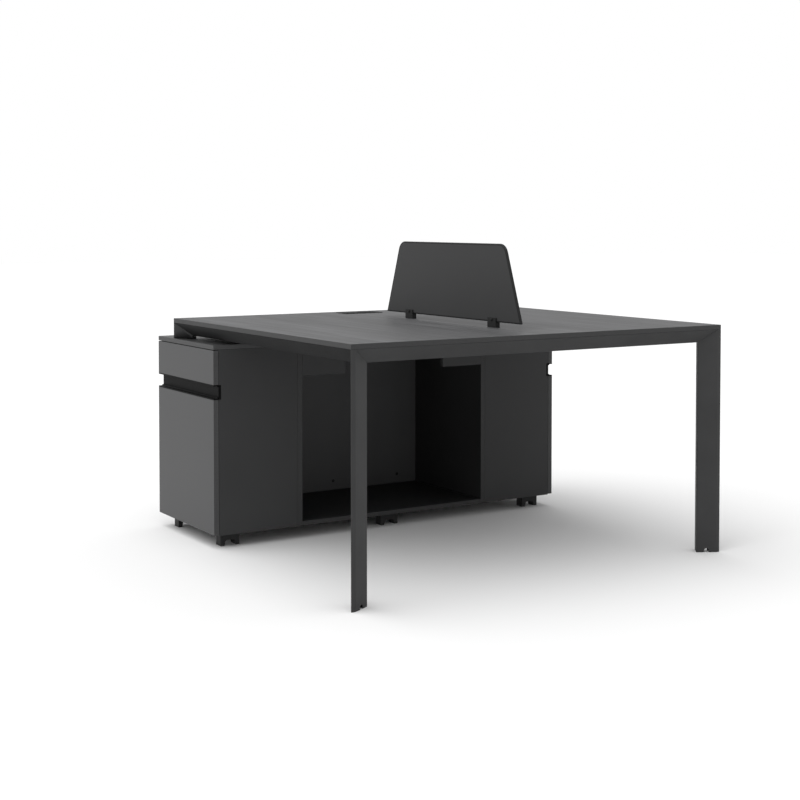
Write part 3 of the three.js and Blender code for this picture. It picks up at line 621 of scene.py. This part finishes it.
def build_cabinet():
    build_panel("cabinet_top", Z, CABINET_FACE, CABINET_BAND)
    # The niche back is lighter and the niche faces and carcass panels darker than the cabinet top:
    # painted light and painted shade
    build_panel("cabinet_back", Y, LIGHTENED_NICHE_BACK_FACE)
    build_panel("niche_floor", Z, SHADED_NICHE_FACE)
    build_panel("niche_rail", Y, SHADED_CARCASS_FACE)
    for side in SIDES:
        build_panel(f"{side}_partition", X, SHADED_NICHE_FACE)
        build_panel(f"{side}_side_panel", Y, SHADED_CARCASS_FACE)
        build_panel(f"{side}_unit_floor", Z, SHADED_CARCASS_FACE)


def build_screw_caps():
    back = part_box("cabinet_back")[0].y
    for name, x in zip(COLUMNS, (-CAP_SPACING, 0.0, CAP_SPACING)):
        rings = []
        for rise, share in CAP_PROFILE:
            rings.append(round_ring(back - CAP_DOME * rise, CAP_RADIUS * share, CAP_STEPS))
        bm = turned(rings, Y, (x, CAP_HEIGHT))
        make_piece(f"niche_{name}_screw_cap", bm, DESK, [BLACK_PLASTIC])


def build_foot(node):
    low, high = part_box(node)
    middle = (low.x + high.x) / 2
    ring = rounded([
        (low.x, low.z, FOOT_TOE),
        (middle - ARCH_FOOT, low.z, FOOT_TOE),
        (middle - ARCH_HEAD, ARCH_CROWN, ARCH_RADIUS),
        (middle + ARCH_HEAD, ARCH_CROWN, ARCH_RADIUS),
        (middle + ARCH_FOOT, low.z, FOOT_TOE),
        (high.x, low.z, FOOT_TOE),
        (high.x, high.z, FOOT_SHOULDER),
        (low.x, high.z, FOOT_SHOULDER),
    ])
    bm = prism(ring, Y, low.y, high.y)
    soften(bm, MOULDED_EDGE)
    stand_in(node, bm, DESK, [LIGHTENED_FOOT_PLASTIC])


def outer_and_inner(side, low, high):
    return (low.x, high.x) if side == "left" else (high.x, low.x)


def build_channel_rail(side):
    node = f"{side}_channel_rail"
    low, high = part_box(node)
    front, rear = outer_and_inner(side, low, high)
    ring = rounded([
        (front, low.z, CHANNEL_FRONT_RADIUS),
        (rear, low.z, CHANNEL_REAR_RADIUS),
        (rear, high.z, CHANNEL_REAR_RADIUS),
        (front, high.z, CHANNEL_FRONT_RADIUS),
    ])
    bm = prism(ring, Y, low.y, high.y)
    soften(bm, SHEET_EDGE)
    stand_in(node, bm, DESK, [SHADED_CHANNEL_PLASTIC])


# Drawers

BOX_WALL = 12 * MM
BOX_FLOOR = 8 * MM
PULL_THICKNESS = 4 * MM
PULL_HOOK = 3 * MM
PULL_SEAT_RADIUS = 0.4 * MM
PULL_TIP_RADIUS = 1.2 * MM
PULL_FINGER_RADIUS = 3.0 * MM
PULL_NOSE_RADIUS = 1.6 * MM
RUNNER_WALL = 1.5 * MM
RUNNER_BACK_RADIUS = 2.2 * MM
RUNNER_LIP_RADIUS = 0.5 * MM
RUNNER_WEB_RADIUS = 1.0 * MM
RUNNER_RISE = 30 * MM
SLIDE_PLAY = 1.8 * MM
SLIDE_HEIGHT = 26.4 * MM
SLIDE_DEPTH = 10.5 * MM
SLIDE_GROOVE = 3 * MM
SLIDE_SLOPE = 1.5 * MM
SLIDE_BACK_RADIUS = 0.5 * MM
SLIDE_LIP_RADIUS = 2.5 * MM
SLIDE_GROOVE_RADIUS = 1.2 * MM


def build_pull(side, level, body):
    node = f"{side}_{level}_pull"
    low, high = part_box(node)
    outer, inner = outer_and_inner(side, low, high)
    seat, tip = (high.z, low.z) if level == "upper" else (low.z, high.z)
    hook = inner + math.copysign(PULL_HOOK, outer - inner)
    plate = seat + math.copysign(PULL_THICKNESS, tip - seat)
    ring = rounded([
        (outer, seat, PULL_SEAT_RADIUS),
        (inner, seat, PULL_SEAT_RADIUS),
        (inner, tip, PULL_TIP_RADIUS),
        (hook, tip, PULL_TIP_RADIUS),
        (hook, plate, PULL_FINGER_RADIUS),
        (outer, plate, PULL_NOSE_RADIUS),
    ])
    bm = prism(ring, Y, low.y, high.y)
    soften(bm, SHEET_EDGE)
    stand_in(node, bm, body, [SHADED_CHANNEL_PLASTIC])


def open_box(low, high, wall, floor):
    bm = bmesh.new()

    def loop(inset, z):
        x0, x1 = low[X] + inset, high[X] - inset
        y0, y1 = low[Y] + inset, high[Y] - inset
        return [bm.verts.new(p) for p in ((x0, y0, z), (x1, y0, z), (x1, y1, z), (x0, y1, z))]

    outside = [loop(0.0, low[Z]), loop(0.0, high[Z])]
    inside = [loop(wall, high[Z]), loop(wall, low[Z] + floor)]
    loft(bm, outside + inside)
    return bm


def build_slide(name, box, body, wall, out):
    low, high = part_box(box)
    bottom = low.z + RUNNER_RISE + SLIDE_PLAY
    top = bottom + SLIDE_HEIGHT
    third = SLIDE_HEIGHT / 3
    lip = wall + out * SLIDE_DEPTH
    waist = wall + out * (SLIDE_DEPTH - SLIDE_GROOVE)
    ring = rounded([
        (wall, bottom, SLIDE_BACK_RADIUS),
        (lip, bottom, SLIDE_LIP_RADIUS),
        (lip, bottom + third, SLIDE_GROOVE_RADIUS),
        (waist, bottom + third + SLIDE_SLOPE, SLIDE_GROOVE_RADIUS),
        (waist, top - third - SLIDE_SLOPE, SLIDE_GROOVE_RADIUS),
        (lip, top - third, SLIDE_GROOVE_RADIUS),
        (lip, top, SLIDE_LIP_RADIUS),
        (wall, top, SLIDE_BACK_RADIUS),
    ])
    bm = prism(ring, X, low.x, high.x)
    soften(bm, SHEET_EDGE)
    make_piece(name, bm, body, [ZINC], (box,))


def build_runner(side, level, end):
    node = f"{side}_{level}_{end}_runner"
    low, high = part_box(node)
    wall, lip = (low.y, high.y) if end == "near" else (high.y, low.y)
    web = wall + math.copysign(RUNNER_WALL, lip - wall)
    ring = rounded([
        (wall, low.z, RUNNER_BACK_RADIUS),
        (lip, low.z, RUNNER_LIP_RADIUS),
        (lip, low.z + RUNNER_WALL, RUNNER_LIP_RADIUS),
        (web, low.z + RUNNER_WALL, RUNNER_WEB_RADIUS),
        (web, high.z - RUNNER_WALL, RUNNER_WEB_RADIUS),
        (lip, high.z - RUNNER_WALL, RUNNER_LIP_RADIUS),
        (lip, high.z, RUNNER_LIP_RADIUS),
        (wall, high.z, RUNNER_BACK_RADIUS),
    ])
    bm = prism(ring, X, low.x, high.x)
    stand_in(node, bm, DESK, [ZINC])


def build_drawer(side, level):
    drawer = f"{side}_{level}"
    body = f"{drawer}_drawer"
    build_panel(f"{body}_front", X, FRONT_FACE, CABINET_BAND, body)
    box = f"{body}_box"
    low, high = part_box(box)
    near_wall = low.y + SLIDE_DEPTH
    far_wall = high.y - SLIDE_DEPTH
    bm = open_box((low.x, near_wall, low.z), (high.x, far_wall, high.z), BOX_WALL, BOX_FLOOR)
    soften(bm, PANEL_EDGE)
    stand_in(box, bm, body, [DRAWER_FACE])
    build_slide(f"{drawer}_near_slide", box, body, near_wall, -1)
    build_slide(f"{drawer}_far_slide", box, body, far_wall, 1)
    for end in ENDS:
        build_runner(side, level, end)
    build_pull(side, level, body)


# Stage, light and camera

FLOOR_SIZE = 60.0
FLOOR_COLOUR = (0.9, 0.9, 0.9, 1.0)
FLOOR_ROUGHNESS = 0.9

# A wide, soft sun, tilted from overhead to the left, and an even sky
KEY_LIGHT = 2.0
KEY_SPREAD = 85.0
KEY_TILT = -27.0
SKY_LIGHT = 0.64
BACKGROUND_LIGHT = 1.0

# Camera, solved from the photo
CAMERA_PLACE = (-2.698, -4.144, 1.097)
LEVEL_VIEW = 90.0
CAMERA_YAW = 31.94
CAMERA_PITCH = 2.075
CAMERA_LENS = 65.12
CAMERA_SENSOR = 36.0
CAMERA_SHIFT_Y = -0.161


def build_floor():
    mesh = bpy.data.meshes.new("floor")
    half = FLOOR_SIZE / 2
    corners = [(-half, -half, 0), (half, -half, 0), (half, half, 0), (-half, half, 0)]
    mesh.from_pydata(corners, [], [(0, 1, 2, 3)])
    floor = bpy.data.objects.new("floor", mesh)
    bpy.context.scene.collection.objects.link(floor)
    made, _, shader = new_material("floor_paper")
    shader.inputs["Base Color"].default_value = FLOOR_COLOUR
    shader.inputs["Roughness"].default_value = FLOOR_ROUGHNESS
    shader.inputs["Specular IOR Level"].default_value = 0.0
    mesh.materials.append(made)


def seen_background(tree):
    path = tree.nodes.new("ShaderNodeLightPath")
    seen = path.outputs["Is Camera Ray"]
    for ray in ("Is Glossy Ray", "Is Transmission Ray"):
        either = tree.nodes.new("ShaderNodeMath")
        either.operation = "MAXIMUM"
        tree.links.new(seen, either.inputs[0])
        tree.links.new(path.outputs[ray], either.inputs[1])
        seen = either.outputs["Value"]
    return seen


def build_sky():
    world = bpy.data.worlds.new("studio")
    bpy.context.scene.world = world
    world.use_nodes = True
    tree = world.node_tree
    light = tree.nodes["Background"]
    light.inputs["Color"].default_value = WHITE
    light.inputs["Strength"].default_value = SKY_LIGHT
    white = tree.nodes.new("ShaderNodeBackground")
    white.inputs["Color"].default_value = WHITE
    white.inputs["Strength"].default_value = BACKGROUND_LIGHT
    mix = tree.nodes.new("ShaderNodeMixShader")
    tree.links.new(seen_background(tree), mix.inputs["Fac"])
    tree.links.new(light.outputs["Background"], mix.inputs[1])
    tree.links.new(white.outputs["Background"], mix.inputs[2])
    tree.links.new(mix.outputs["Shader"], tree.nodes["World Output"].inputs["Surface"])


def build_key_light():
    lamp = bpy.data.lights.new("key_light", "SUN")
    lamp.energy = KEY_LIGHT
    lamp.angle = math.radians(KEY_SPREAD)
    sun = bpy.data.objects.new("key_light", lamp)
    sun.rotation_euler = (0.0, math.radians(KEY_TILT), 0.0)
    bpy.context.scene.collection.objects.link(sun)


def build_camera():
    data = bpy.data.cameras.new("camera")
    data.sensor_width = CAMERA_SENSOR
    data.lens = CAMERA_LENS
    data.shift_y = CAMERA_SHIFT_Y
    data.dof.use_dof = False
    camera = bpy.data.objects.new("camera", data)
    camera.location = CAMERA_PLACE
    camera.rotation_euler = (math.radians(LEVEL_VIEW - CAMERA_PITCH), 0.0, math.radians(-CAMERA_YAW))
    bpy.context.scene.collection.objects.link(camera)
    bpy.context.scene.camera = camera


build_frame()
build_board()
build_flap()
build_screen()
build_cabinet()
build_screw_caps()
for side_name in SIDES:
    build_glide(side_name)
    build_channel_rail(side_name)
    for level_name in LEVELS:
        build_drawer(side_name, level_name)
for end_name in ENDS:
    build_clamp_screw(end_name)
    for column_name in COLUMNS:
        build_foot(f"{end_name}_{column_name}_foot")
build_floor()
build_sky()
build_key_light()
build_camera()
bpy.context.scene.view_settings.view_transform = "Standard"
